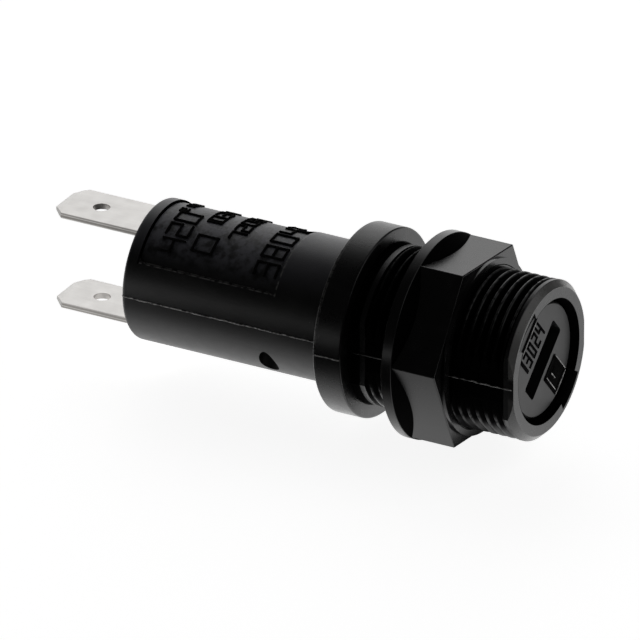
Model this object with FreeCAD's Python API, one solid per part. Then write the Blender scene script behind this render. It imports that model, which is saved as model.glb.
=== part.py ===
import FreeCAD, Part
import math
import os

# Fuse holder for a panel. Lengths are in millimetres, +Z is up, and the user stands at -Y.
# The flange's front face, which seats on the back of the panel, lies at y = 0.
# Angles run from +X towards +Z, which is anticlockwise for the user.

# Barrel, in front of the flange: its walls are measured outwards from the bayonet tracks
barrel_length = 14.65
barrel_wall = 0.85
flat_wall = 0.7
thread_depth = 0.45
thread_flank = 0.25
shoulder_length = 1.25
ring_length = 0.8
ring_bevel = 0.5

# Flange and tube, behind the panel
flange_overhang = 1.23
flange_thickness = 2.5
flange_edge_round = 0.15
tube_length = 18.55
tube_wall = 0.88
tube_edge_round = 0.35
rear_wall = 3.05

# Recess for the marking on top of the tube
marking_depth = 0.2
marking_front_gap = 5.0
marking_rear_rim = 1.1
marking_half_angle = 60.0
marking_corner_round = 0.8

# Upright hole low in the side of the tube, in the direction in which the mould opens
side_hole_radius = 0.8
side_hole_from_flange = 5.7
side_hole_inset = 0.35

# Fuse, a glass cartridge
fuse_length = 20.0
fuse_radius = 2.6
fuse_cap_length = 5.0
fuse_cap_wall = 0.2
fuse_glass_wall = 0.65
fuse_wire_radius = 0.12

# Fuse carrier, the cap that the user turns
cap_step = 0.08
cap_recess = 0.55
cap_edge_chamfer = 0.15
slot_length = 6.4
slot_width = 1.97
slot_depth = 1.6
slot_corner_round = 0.25
slot_angle = 41.8
web_under_slot = 1.2
hub_wall = 0.75
hub_length = 3.6

# Bayonet: two lugs on the carrier, square to its slot, run in tracks in the housing
lug_half_angle = 9.0
lock_turn = 60.0
lug_height = 0.35
lug_thickness = 1.1
ledge_thickness = 1.0
mouth_depth = 2.25
mouth_gap = 0.4
notch_wall = 0.3
notch_half_angle = 17.0
notch_depth = 1.1
collar_length = 2.6

# Contacts
sheet_thickness = 0.35
contact_length = 8.1
finger_slit_width = 0.6
finger_slit_length = 5.7
plunger_rim = 0.5
plunger_thickness = 1.0
plunger_dish_depth = 0.35
plunger_stem_radius = 1.7
plunger_stem_length = 2.0
spring_wire_radius = 0.25
spring_turns = 5.0

# Guide ribs in the rear of the bore
rib_width = 1.2
rib_length = 11.0

# Terminals, both folded from one strip
tab_width = 4.8
tab_thickness = 0.5
tab_spacing = 8.0
tab_reach = 8.4
tab_tip_chamfer = 1.0
tab_tip_bevel = 0.13
tab_tip_bevel_length = 0.6
tab_hole_radius = 0.7
tab_hole_from_tip = 3.4
bend_radius = 0.6
foot_drop = 2.6
foot_boss_radius = 1.55
foot_boss_height = 0.6
bow_flat = 0.8
bow_ramp = 3.6
bow_lead = 1.9
bow_lead_drop = 0.45

# Nut
nut_gap = 4.0
nut_height = 4.8
nut_wall = 0.69
nut_corner_angle = 54.7
nut_collar_overhang = 0.025
nut_collar_rim = 0.9
nut_cone_length = 0.85
nut_edge_round = 0.1
nut_boss_inset = 0.07
nut_boss_height = 0.3
nut_mouth_chamfer = 0.12

# Clearances
running_clearance = 0.1
lug_clearance = 0.05
thread_clearance = 0.05
fuse_clearance = 0.05
touch_gap = 0.02
strip_clearance = 0.07

# Places along the axis that follow from the sizes above
front_y = -barrel_length
tube_end_y = flange_thickness + tube_length
rear_face_y = tube_end_y - rear_wall
cap_face_y = front_y + cap_recess
slot_floor_y = cap_face_y + slot_depth
socket_floor_y = slot_floor_y + web_under_slot
fuse_front_y = socket_floor_y + sheet_thickness
fuse_rear_y = fuse_front_y + fuse_length
mouth_floor_y = front_y + mouth_depth
track_front_y = mouth_floor_y + ledge_thickness
track_rear_y = track_front_y + lug_thickness + 2 * lug_clearance
collar_front_y = mouth_floor_y + running_clearance
collar_rear_y = collar_front_y + collar_length
tab_tip_y = tube_end_y + tab_reach
tab_centre_z = tab_spacing / 2
lug_entry_angle = slot_angle + 90

# Radii that follow from the sizes above: the bore is as wide as the two tabs that it takes
bore_radius = math.hypot(tab_width / 2, tab_spacing / 2 + tab_thickness / 2) + strip_clearance
tube_radius = bore_radius + tube_wall
collar_radius = bore_radius - running_clearance
cap_radius = collar_radius - cap_step
mouth_radius = cap_radius + mouth_gap
lug_radius = collar_radius + lug_height
track_radius = lug_radius + running_clearance
thread_root_radius = track_radius + barrel_wall
notch_radius = thread_root_radius - notch_wall
thread_radius = thread_root_radius + thread_depth
flat_distance = track_radius + flat_wall
flange_radius = thread_radius + flange_overhang
contact_inner_radius = fuse_radius + fuse_clearance
contact_outer_radius = contact_inner_radius + sheet_thickness
plunger_radius = fuse_radius + plunger_rim
rib_inner_radius = plunger_radius + running_clearance
side_hole_offset = bore_radius - side_hole_inset
nut_bore_radius = thread_radius + thread_clearance
nut_flat_distance = nut_bore_radius + nut_wall
nut_boss_radius = nut_flat_distance - nut_boss_inset
nut_corner_radius = nut_flat_distance / math.cos(math.radians(30))
nut_collar_radius = nut_corner_radius + nut_collar_overhang

Vector = FreeCAD.Vector
ORIGIN = Vector(0, 0, 0)
REARWARD = Vector(0, 1, 0)
FORWARD = Vector(0, -1, 0)
SIDEWAYS = Vector(1, 0, 0)
UPWARD = Vector(0, 0, 1)
DOWNWARD = Vector(0, 0, -1)
CUT_MARGIN = 1.0


def export(shape, node):
    """Write one piece as a STEP file named after its node."""
    solid = shape.removeSplitter()
    solids = solid.Solids
    if len(solids) == 1:
        solid = solids[0]
    print(f"{node:18s} solids {len(solids)} valid {solid.isValid()} volume {solid.Volume:.3f}")
    solid.exportStep(f"parts/{node}.step")


def turned(points):
    """Solid turned about the Y axis from a closed outline of (radius, y) points."""
    corners = [Vector(radius, y, 0) for radius, y in points]
    outline = Part.makePolygon(corners + corners[:1])
    return Part.Face(outline).revolve(ORIGIN, FORWARD, 360)


def disc(radius, start, end):
    """Cylinder on the Y axis between two places along it."""
    return Part.makeCylinder(radius, end - start, Vector(0, start, 0), REARWARD)


def block(low, high):
    """Box between two opposite corners."""
    size = [high[i] - low[i] for i in range(3)]
    return Part.makeBox(size[0], size[1], size[2], Vector(*low))


def sector(inner, outer, start, end, middle_angle, half_angle):
    """Piece of a ring about the Y axis, centred on an angle."""
    corners = [(inner, start), (outer, start), (outer, end), (inner, end)]
    points = [Vector(radius, y, 0) for radius, y in corners]
    face = Part.Face(Part.makePolygon(points + points[:1]))
    face.rotate(ORIGIN, FORWARD, middle_angle - half_angle)
    return face.revolve(ORIGIN, FORWARD, 2 * half_angle)


def strip_path(corners, radius):
    """Wire in the YZ plane through the corners, with an arc of the given radius at each inner one."""
    points = [Vector(0, y, z) for y, z in corners]
    edges = []
    start = points[0]
    for before, corner, after in zip(points, points[1:], points[2:]):
        back = (before - corner).normalize()
        ahead = (after - corner).normalize()
        half = back.getAngle(ahead) / 2
        reach = radius / math.tan(half)
        arc_start = corner + back * reach
        arc_end = corner + ahead * reach
        bisector = (back + ahead).normalize()
        arc_middle = corner + bisector * (radius / math.sin(half) - radius)
        edges.append(Part.makeLine(start, arc_start))
        edges.append(Part.Arc(arc_start, arc_middle, arc_end).toShape())
        start = arc_end
    edges.append(Part.makeLine(start, points[-1]))
    return Part.Wire(edges)


def folded_strip(corners, radius):
    """Strip of the terminals' width and thickness, folded along a path that starts at its tab's tip."""
    half_width = tab_width / 2
    half_thickness = tab_thickness / 2
    y, z = corners[0]
    section = Part.makePolygon([
        Vector(-half_width, y, z - half_thickness),
        Vector(half_width, y, z - half_thickness),
        Vector(half_width, y, z + half_thickness),
        Vector(-half_width, y, z + half_thickness),
        Vector(-half_width, y, z - half_thickness),
    ])
    return strip_path(corners, radius).makePipeShell([section], True, True)


def tab_outline(front_y_limit, height):
    """Prism with the tab's outline from above: two chamfered corners at the tip."""
    half_width = tab_width / 2 + CUT_MARGIN
    nose = tab_width / 2 - tab_tip_chamfer
    start = front_y_limit - CUT_MARGIN
    shoulder_y = tab_tip_y - tab_tip_chamfer - CUT_MARGIN
    corners = [
        (-half_width, start),
        (half_width, start),
        (half_width, shoulder_y),
        (nose, tab_tip_y),
        (-nose, tab_tip_y),
        (-half_width, shoulder_y),
    ]
    points = [Vector(x, y, -height) for x, y in corners]
    face = Part.Face(Part.makePolygon(points + points[:1]))
    return face.extrude(UPWARD * (2 * height))


def tip_bevels(centre_z):
    """Two wedges that thin the tab's tip from above and below."""
    wedges = []
    for side in (-1, 1):
        face_z = centre_z + side * tab_thickness / 2
        corners = [
            (tab_tip_y - tab_tip_bevel_length, face_z),
            (tab_tip_y + CUT_MARGIN, face_z),
            (tab_tip_y + CUT_MARGIN, face_z - side * tab_tip_bevel),
            (tab_tip_y, face_z - side * tab_tip_bevel),
        ]
        points = [Vector(-tab_width, y, z) for y, z in corners]
        face = Part.Face(Part.makePolygon(points + points[:1]))
        wedges.append(face.extrude(SIDEWAYS * (2 * tab_width)))
    return wedges


def finished_terminal(strip, centre_z, front_limit):
    """Give a folded strip its chamfered, bevelled and pierced tab."""
    terminal = strip.common(tab_outline(front_limit, tube_radius))
    for wedge in tip_bevels(centre_z):
        terminal = terminal.cut(wedge)
    hole_y = tab_tip_y - tab_hole_from_tip
    hole = Part.makeCylinder(tab_hole_radius, 2 * tab_thickness, Vector(0, hole_y, centre_z - tab_thickness), UPWARD)
    return terminal.cut(hole)


def rear_terminal():
    """Upper terminal, folded down inside the rear wall into a foot that carries the spring."""
    foot_y = rear_face_y - tab_thickness / 2
    corners = [(tab_tip_y, tab_centre_z), (foot_y, tab_centre_z), (foot_y, -foot_drop)]
    terminal = finished_terminal(folded_strip(corners, bend_radius), tab_centre_z, foot_y)
    foot_front_y = rear_face_y - tab_thickness
    boss = disc(foot_boss_radius, foot_front_y - foot_boss_height, foot_front_y)
    dimple = disc(foot_boss_radius - foot_boss_height / 2, foot_front_y, rear_face_y + CUT_MARGIN)
    return terminal.fuse(boss).cut(dimple)


def side_terminal():
    """Lower terminal, running along the bore to a bow that rubs on the carrier's contact."""
    bow_z = -(contact_outer_radius + touch_gap + tab_thickness / 2)
    bow_middle_y = fuse_front_y + fuse_cap_length + CUT_MARGIN
    bow_rear_y = bow_middle_y + bow_flat / 2
    bow_front_y = bow_middle_y - bow_flat / 2
    end_y = bow_front_y - bow_lead
    corners = [
        (tab_tip_y, -tab_centre_z),
        (bow_rear_y + bow_ramp, -tab_centre_z),
        (bow_rear_y, bow_z),
        (bow_front_y, bow_z),
        (end_y, bow_z - bow_lead_drop),
    ]
    return finished_terminal(folded_strip(corners, bend_radius), -tab_centre_z, end_y)


def barrel_and_tube():
    """Outside of the housing before its bore and openings, with the rear edge rounded."""
    profile = [
        (0, front_y),
        (thread_radius - ring_bevel, front_y),
        (thread_radius, front_y + ring_bevel),
        (thread_radius, front_y + ring_length),
        (thread_root_radius, front_y + ring_length + thread_flank),
        (thread_root_radius, -shoulder_length),
        (thread_radius, -shoulder_length),
        (thread_radius, 0),
        (flange_radius, 0),
        (flange_radius, flange_thickness),
        (tube_radius, flange_thickness),
        (tube_radius, tube_end_y),
        (0, tube_end_y),
    ]
    body = turned(profile)
    flats = block((-flat_distance, front_y - CUT_MARGIN, -flange_radius), (flat_distance, 0, flange_radius))
    rear = block((-flange_radius, 0, -flange_radius), (flange_radius, tube_end_y, flange_radius))
    body = body.common(flats.fuse(rear))
    flange_edges = round_edges(body, flange_radius, (0, flange_thickness))
    body = body.makeFillet(flange_edge_round, flange_edges)
    return body.makeFillet(tube_edge_round, round_edges(body, tube_radius, (tube_end_y,)))


def round_edges(shape, radius, places):
    """Whole circles of a given radius about the axis, at given places along it."""
    found = []
    for edge in shape.Edges:
        curve = edge.Curve
        if not isinstance(curve, Part.Circle):
            continue
        if abs(curve.Radius - radius) < 1e-6 and any(abs(curve.Center.y - y) < 1e-6 for y in places):
            found.append(edge)
    return found


def marking_recess():
    """Shallow field on top of the tube, with rounded corners."""
    start = flange_thickness + marking_front_gap
    end = tube_end_y - marking_rear_rim
    floor = tube_radius - marking_depth
    field = sector(floor, tube_radius + CUT_MARGIN, start, end, 90, marking_half_angle)
    corners = []
    for edge in field.Edges:
        ends = [vertex.Point for vertex in edge.Vertexes]
        if len(ends) == 2 and abs(ends[0].y - ends[1].y) < 1e-6 and isinstance(edge.Curve, Part.Line):
            corners.append(edge)
    return field.makeFillet(marking_corner_round, corners)


def bayonet_tracks():
    """Entry grooves with a wider notch at the mouth, and turning grooves, for the carrier's lugs."""
    clear_angle = math.degrees(running_clearance / track_radius)
    half_angle = lug_half_angle + clear_angle
    inner = bore_radius - running_clearance
    tracks = []
    for half_turn in (0, 180):
        entry = lug_entry_angle + half_turn
        turn_middle = entry - lock_turn / 2
        start = front_y - CUT_MARGIN
        tracks.append(sector(inner, notch_radius, start, front_y + notch_depth, entry, notch_half_angle))
        tracks.append(sector(inner, track_radius, start, track_rear_y, entry, half_angle))
        turn_half = half_angle + lock_turn / 2
        tracks.append(sector(inner, track_radius, track_front_y, track_rear_y, turn_middle, turn_half))
    return tracks


def guide_ribs():
    """Two ribs on the sides of the bore that keep the plunger on the axis."""
    bore_wall = disc(bore_radius + tube_wall / 2, rear_face_y - rib_length, rear_face_y)
    ribs = []
    for side in (-1, 1):
        ends = sorted((side * rib_inner_radius, side * (bore_radius + CUT_MARGIN)))
        low = (ends[0], rear_face_y - rib_length, -rib_width / 2)
        high = (ends[1], rear_face_y, rib_width / 2)
        ribs.append(block(low, high).common(bore_wall))
    return ribs


def terminal_slots():
    """Slots through the rear wall, with room for the upper terminal's fold."""
    half_width = tab_width / 2 + strip_clearance
    half_height = tab_thickness / 2 + strip_clearance
    slots = []
    for side in (-1, 1):
        centre = side * tab_centre_z
        low = (-half_width, rear_face_y - CUT_MARGIN, centre - half_height)
        high = (half_width, tube_end_y + CUT_MARGIN, centre + half_height)
        slots.append(block(low, high))
    fold = tab_thickness / 2 + bend_radius + strip_clearance
    low = (-half_width, rear_face_y - CUT_MARGIN, tab_centre_z - fold)
    high = (half_width, rear_face_y + bend_radius, tab_centre_z)
    slots.append(block(low, high))
    return slots


def housing():
    """The one moulding: barrel with two flats, flange, tube, bore, bayonet tracks and rear wall."""
    body = barrel_and_tube().cut(marking_recess())
    body = body.cut(turned([
        (0, front_y - CUT_MARGIN),
        (mouth_radius, front_y - CUT_MARGIN),
        (mouth_radius, mouth_floor_y),
        (bore_radius, mouth_floor_y),
        (bore_radius, rear_face_y),
        (0, rear_face_y),
    ]))
    for track in bayonet_tracks():
        body = body.cut(track)
    for rib in guide_ribs():
        body = body.fuse(rib)
    for slot in terminal_slots():
        body = body.cut(slot)
    hole_y = flange_thickness + side_hole_from_flange
    hole_top_z = -math.sqrt(bore_radius ** 2 - side_hole_offset ** 2)
    hole_top = Vector(-side_hole_offset, hole_y, hole_top_z)
    return body.cut(Part.makeCylinder(side_hole_radius, tube_radius, hole_top, DOWNWARD))


def fuse_carrier():
    """Cap moulding: slotted head, guide collar with two lugs, and a hub that holds the contact."""
    hub_radius = contact_outer_radius + hub_wall
    hub_end_y = socket_floor_y + hub_length
    body = turned([
        (0, cap_face_y),
        (cap_radius - cap_edge_chamfer, cap_face_y),
        (cap_radius, cap_face_y + cap_edge_chamfer),
        (cap_radius, collar_front_y),
        (collar_radius, collar_front_y),
        (collar_radius, collar_rear_y),
        (hub_radius, collar_rear_y),
        (hub_radius, hub_end_y),
        (contact_outer_radius, hub_end_y),
        (contact_outer_radius, socket_floor_y),
        (0, socket_floor_y),
    ])
    slot = block((-slot_length / 2, cap_face_y - CUT_MARGIN, -slot_width / 2),
                 (slot_length / 2, slot_floor_y, slot_width / 2))
    corners = [edge for edge in slot.Edges if edge.BoundBox.YLength > slot_depth]
    slot = slot.makeFillet(slot_corner_round, corners)
    slot.rotate(ORIGIN, FORWARD, slot_angle)
    body = body.cut(slot)
    lug_front = track_front_y + lug_clearance
    lug_rear = track_rear_y - lug_clearance
    root = collar_radius - lug_height
    for half_turn in (0, 180):
        angle = lug_entry_angle + half_turn
        body = body.fuse(sector(root, lug_radius, lug_front, lug_rear, angle, lug_half_angle))
    return body


def carrier_contact():
    """Drawn cup pressed into the carrier, slit into four fingers that grip the fuse."""
    end_y = fuse_front_y + contact_length
    cup = disc(contact_outer_radius, socket_floor_y, end_y)
    cup = cup.cut(disc(contact_inner_radius, fuse_front_y, end_y + CUT_MARGIN))
    reach = contact_outer_radius + CUT_MARGIN
    for angle in (slot_angle, slot_angle + 90):
        slit = block((-reach, end_y - finger_slit_length, -finger_slit_width / 2),
                     (reach, end_y + CUT_MARGIN, finger_slit_width / 2))
        slit.rotate(ORIGIN, FORWARD, angle)
        cup = cup.cut(slit)
    return cup


def fuse_end_cap(end_y, direction):
    """Drawn metal cap on one end of the fuse, opening in the given direction along Y."""
    mouth_y = end_y + direction * fuse_cap_length
    floor_y = end_y + direction * fuse_cap_wall
    outer = disc(fuse_radius, min(end_y, mouth_y), max(end_y, mouth_y))
    inner = disc(fuse_radius - fuse_cap_wall, min(floor_y, mouth_y), max(floor_y, mouth_y))
    return outer.cut(inner)


def fuse_glass_tube():
    """Glass tube between the floors of the two end caps."""
    radius = fuse_radius - fuse_cap_wall
    start = fuse_front_y + fuse_cap_wall
    end = fuse_rear_y - fuse_cap_wall
    return disc(radius, start, end).cut(disc(radius - fuse_glass_wall, start, end))


def fuse_wire():
    """Straight melting wire between the end caps."""
    return disc(fuse_wire_radius, fuse_front_y + fuse_cap_wall, fuse_rear_y - fuse_cap_wall)


def contact_plunger():
    """Turned button that the spring presses on the fuse's rear cap, with a stem inside the spring."""
    seat_y = fuse_rear_y + plunger_thickness
    dish_radius = fuse_radius - plunger_rim
    return turned([
        (0, fuse_rear_y + plunger_dish_depth),
        (dish_radius, fuse_rear_y),
        (plunger_radius, fuse_rear_y),
        (plunger_radius, seat_y),
        (plunger_stem_radius, seat_y),
        (plunger_stem_radius, seat_y + plunger_stem_length),
        (0, seat_y + plunger_stem_length),
    ])


def contact_spring():
    """Compression spring between the plunger and the rear terminal's foot."""
    start = fuse_rear_y + plunger_thickness + spring_wire_radius
    end = rear_face_y - tab_thickness - spring_wire_radius
    coil_radius = plunger_stem_radius + running_clearance + spring_wire_radius
    helix = Part.makeHelix((end - start) / spring_turns, end - start, coil_radius)
    section = Part.Wire(Part.makeCircle(spring_wire_radius, Vector(coil_radius, 0, 0), REARWARD))
    spring = Part.Wire(helix.Edges).makePipeShell([section], True, True)
    spring.rotate(ORIGIN, SIDEWAYS, -90)
    spring.translate(Vector(0, start, 0))
    return spring


def hex_nut():
    """Moulded nut: round collar towards the panel, cone, hexagon for the spanner and a low front boss."""
    rear = -nut_gap
    front = rear - nut_height
    boss_front = front - nut_boss_height
    slope = (nut_collar_radius - nut_flat_distance) / nut_cone_length
    cone_end = rear - nut_collar_rim - (nut_collar_radius - nut_bore_radius) / slope
    collar = turned([
        (0, rear),
        (nut_collar_radius - nut_edge_round, rear),
        (nut_collar_radius, rear - nut_edge_round),
        (nut_collar_radius, rear - nut_collar_rim),
        (nut_bore_radius, cone_end),
        (0, cone_end),
    ])
    corners = []
    for index in range(6):
        angle = math.radians(nut_corner_angle + 60 * index)
        corners.append(Vector(nut_corner_radius * math.cos(angle), front, nut_corner_radius * math.sin(angle)))
    hexagon = Part.Face(Part.makePolygon(corners + corners[:1]))
    hexagon = hexagon.extrude(REARWARD * (nut_height - nut_edge_round))
    outer_edges = [edge for edge in hexagon.Edges if edge.BoundBox.YMin < front + nut_edge_round]
    body = collar.fuse(hexagon.makeFillet(nut_edge_round, outer_edges))
    body = body.fuse(disc(nut_boss_radius, boss_front, front + nut_edge_round))
    bore = turned([
        (0, boss_front - CUT_MARGIN),
        (nut_bore_radius + nut_mouth_chamfer + CUT_MARGIN, boss_front - CUT_MARGIN),
        (nut_bore_radius, boss_front + nut_mouth_chamfer),
        (nut_bore_radius, rear + CUT_MARGIN),
        (0, rear + CUT_MARGIN),
    ])
    return body.cut(bore)


def main():
    os.makedirs("parts", exist_ok=True)
    export(housing(), "housing")
    export(rear_terminal(), "rear_terminal")
    export(side_terminal(), "side_terminal")
    export(contact_spring(), "contact_spring")
    export(contact_plunger(), "contact_plunger")
    export(fuse_glass_tube(), "fuse_glass_tube")
    export(fuse_end_cap(fuse_front_y, 1), "fuse_front_cap")
    export(fuse_end_cap(fuse_rear_y, -1), "fuse_rear_cap")
    export(fuse_wire(), "fuse_wire")
    export(fuse_carrier(), "fuse_carrier")
    export(carrier_contact(), "carrier_contact")
    export(hex_nut(), "hex_nut")


main()
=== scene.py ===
"""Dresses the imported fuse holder: threads, moulding marks, finishes, light and camera."""

import math

import bmesh
import bpy
from bpy.props import FloatProperty, FloatVectorProperty, IntProperty, PointerProperty
from mathutils import Color, Matrix, Vector


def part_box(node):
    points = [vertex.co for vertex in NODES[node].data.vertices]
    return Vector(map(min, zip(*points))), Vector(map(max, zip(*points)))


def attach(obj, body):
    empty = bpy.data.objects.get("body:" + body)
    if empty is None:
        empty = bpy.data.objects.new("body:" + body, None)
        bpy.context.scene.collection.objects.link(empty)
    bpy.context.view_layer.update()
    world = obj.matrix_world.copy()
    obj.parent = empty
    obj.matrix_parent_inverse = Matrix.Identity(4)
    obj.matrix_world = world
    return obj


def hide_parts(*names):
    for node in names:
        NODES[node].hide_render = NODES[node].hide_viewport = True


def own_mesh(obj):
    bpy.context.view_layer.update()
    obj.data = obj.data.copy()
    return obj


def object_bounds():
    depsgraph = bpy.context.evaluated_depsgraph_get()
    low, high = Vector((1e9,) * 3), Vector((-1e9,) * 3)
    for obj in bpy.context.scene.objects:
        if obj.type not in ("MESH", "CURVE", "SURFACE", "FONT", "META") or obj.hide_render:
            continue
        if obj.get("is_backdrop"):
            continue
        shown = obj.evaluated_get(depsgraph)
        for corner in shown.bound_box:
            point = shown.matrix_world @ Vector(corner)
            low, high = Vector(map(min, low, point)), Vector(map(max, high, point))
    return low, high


bl_info = {
    "name": "Panel Fuse Holder",
    "version": (1, 0, 0),
    "blender": (4, 5, 0),
    "location": "View3D > Sidebar > Fuse Holder",
    "description": "Adds threads, moulding marks, finishes, light and a camera to the packed fuse holder",
    "category": "Object",
}

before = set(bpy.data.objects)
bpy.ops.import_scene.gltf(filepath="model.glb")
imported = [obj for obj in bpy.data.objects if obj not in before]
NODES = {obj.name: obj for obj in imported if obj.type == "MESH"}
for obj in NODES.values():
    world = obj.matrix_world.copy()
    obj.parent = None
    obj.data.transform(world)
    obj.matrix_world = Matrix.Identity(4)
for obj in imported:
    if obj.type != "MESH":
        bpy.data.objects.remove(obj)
CAD_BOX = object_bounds()
MM = 0.001

HOUSING_LOW, HOUSING_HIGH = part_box("housing")
NUT_LOW, NUT_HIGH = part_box("hex_nut")
TAB_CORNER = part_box("rear_terminal")[1]
CAP_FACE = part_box("fuse_carrier")[0].y
SLOT_ANGLE = math.radians(41.8)

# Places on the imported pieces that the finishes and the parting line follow, in millimetres
BARREL_FRONT = HOUSING_LOW.y / MM
TUBE_REAR = HOUSING_HIGH.y / MM
RING_REAR = BARREL_FRONT + 0.9
FLANGE_REAR = 2.5
FIELD_FRONT = 7.5
FIELD_REAR = TUBE_REAR - 1.1
FIELD_SIDE = 2.8
SIDE_HOLE_X = -4.6
SIDE_HOLE_Y = 8.2
TAB_EDGE = TAB_CORNER.x / MM
TAB_TIP = TAB_CORNER.y / MM
TAB_HOLE_Y = TAB_TIP - 3.4

# Bars of each plain digit, lettered a to g from the top one clockwise, with g in the middle
DIGITS = {"0": "abcdef", "1": "bc", "2": "abged", "3": "abgcd", "4": "fgbc", "7": "abc", "8": "abcdefg"}

# Rows of digits on the tube: place along it, height and width of a digit, and digits with their angles
TUBE_ROWS = (
    (18.5, 0.8, 0.6, ((88, "2"), (80, "1"), (72, "3"), (64, "0"))),
    (17.6, 2.1, 1.3, ((130, "4"), (114, "2"), (98, "0"))),
    (15.3, 1.4, 0.9, ((100, "1"), (90, "0"), (79, "3"), (68, "4"))),
    (14.9, 1.9, 1.7, ((122, "0"),)),
    (12.7, 1.4, 0.9, ((106, "7"), (95, "2"), (84, "0"), (73, "8"), (63, "1"))),
    (8.9, 2.1, 1.25, ((131, "3"), (114, "8"), (97, "0"), (81, "4"), (66, "2"))),
)

# The cap's row of digits in the same order, but with places across the cap in place of the angles
CAP_ROWS = ((2.5, 1.9, 0.66, ((-1.15, "3"), (-0.25, "0"), (0.65, "2"), (1.5, "4"))),)

# Bars on the cap: centre across and along it, and length across or along, where None is the bar's width
CAP_FRAME = (
    (0.25, 3.92, 3.5, None), (-1.85, 2.85, None, 2.4), (-0.95, -2.9, None, 2.75), (1.1, -2.9, None, 2.75),
    (0.1, -1.62, 2.3, None), (0.1, -4.15, 2.3, None), (0.3, -2.9, 0.5, 1.3),
)
# A low dark bar inside the frame: painted shade in the frame's field
CAP_FIELD = ((0.1, -2.9, 1.8, 2.3),)
# Pale bars along the frame's edges: painted highlights where its walls catch the light
CAP_HIGHLIGHT_BARS = (
    (0.35, 3.73, 3.2, None), (-0.76, -2.9, None, 2.3), (1.28, -2.9, None, 2.5), (0.1, -4.34, 2.2, None),
    (-0.1, -2.7, None, 0.9),
)

# Where the photograph was taken from, and how much of the table it takes in
VIEW_AZIMUTH = math.radians(-61.4)
VIEW_ELEVATION = math.radians(26.05)
VIEW_TARGET = Vector((0, 6.068 * MM, -1.160 * MM))
VIEW_WIDTH = 51.2 * MM
LENS = 1000.0
SENSOR = 36.0

# Stage in metres: a white floor, a tall card behind the holder, and how bright they and the sky are
STAGE_SIZE = 4.0
FLOOR_HEIGHT = CAD_BOX[0].z - 0.1 * MM
CARD_DIRECTION = Vector((0.789, 0.43, 0)).normalized()
CARD_DISTANCE = 0.9
CARD_HEIGHT = 1.85
FLOOR_SEEN = 0.9
FLOOR_MIRRORED = 1.25
CARD_MIRRORED = 1.0
DARKEST = 0.015
SKY_SEEN = 1.0
SKY_LIGHT = 0.02

# Lamps in metres and watts: name, place, size and power
LAMPS = (("top_lamp", (0.42, 0.30, 0.45), 0.35, 0.15), ("front_lamp", (0.16, -0.47, 0.35), 0.60, 0.45))


def length(title, note, millimetres):
    """A size that the user may change."""
    size = millimetres * MM
    return FloatProperty(name=title, description=note, default=size, unit="LENGTH", precision=5)


def colour(title, note, value):
    """A colour that the user may change."""
    return FloatVectorProperty(
        name=title, description=note, default=value, subtype="COLOR", size=3, min=0, max=1,
    )


class HolderSizes(bpy.types.PropertyGroup):
    """Sizes of the pieces that this file adds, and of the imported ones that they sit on."""

    pitch: length("Thread pitch", "Distance from one crest to the next", 0.8)
    crest_radius: length("Crest radius", "Radius of the barrel thread's crest", 6.585)
    root_radius: length("Root radius", "Radius of the barrel between the crests", 6.15)
    nut_crest_radius: length("Nut crest radius", "Radius of the nut thread's crest", 6.2)
    nut_root_radius: length("Nut root radius", "Radius of the nut's bore between the crests", 6.65)
    thread_base: length("Thread base", "Width of the thread's ridge at its root", 0.72)
    thread_crest: length("Thread crest", "Width of the thread's ridge at its crest", 0.14)
    thread_round: length("Thread round", "Rounding along the edges of the thread's ridge", 0.035)
    thread_lead: length("Thread lead", "How far behind the barrel's front its thread starts", 0.55)
    thread_length: length("Thread length", "Length of the barrel's thread", 13.3)
    thread_steps: IntProperty(
        name="Thread steps", description="Steps in one turn of a thread", default=72, min=16,
    )
    neck_length: length("Neck length", "Length of the barrel's plain neck next to the flange", 1.36)
    flat_distance: length("Flat distance", "Distance of the barrel's flats from its axis", 6.0)
    tube_radius: length("Tube radius", "Radius of the tube behind the flange", 5.83)
    flange_radius: length("Flange radius", "Radius of the flange's edge", 7.83)
    field_radius: length("Field radius", "Radius of the sunk field that carries the tube's marks", 5.63)
    sunk: length("Sunk depth", "How deep an added ridge reaches into its carrier", 0.04)
    flash_radius: length("Flash radius", "Radius of the thin ridge where the mould halves met", 0.062)
    flash_step: length("Flash step", "Distance between two bends of that ridge", 0.45)
    flash_wander: length("Flash wander", "How far that ridge's bends stray from a straight line", 0.028)
    mark_height: length("Mark height", "How far a moulded mark on the tube stands up", 0.13)
    mark_stroke: length("Mark stroke", "Width of the strokes of the tube's marks", 0.17)
    cap_mark_height: length("Cap mark height", "How far a mark on the cap stands up", 0.06)
    cap_mark_stroke: length("Cap mark stroke", "Width of the strokes of the cap's digits", 0.2)
    cap_bar: length("Cap bar", "Width of the bars of the cap's frame", 0.3)
    cap_highlight_bar: length("Cap pale bar", "Width of the pale edges along the cap's frame", 0.09)


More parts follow.
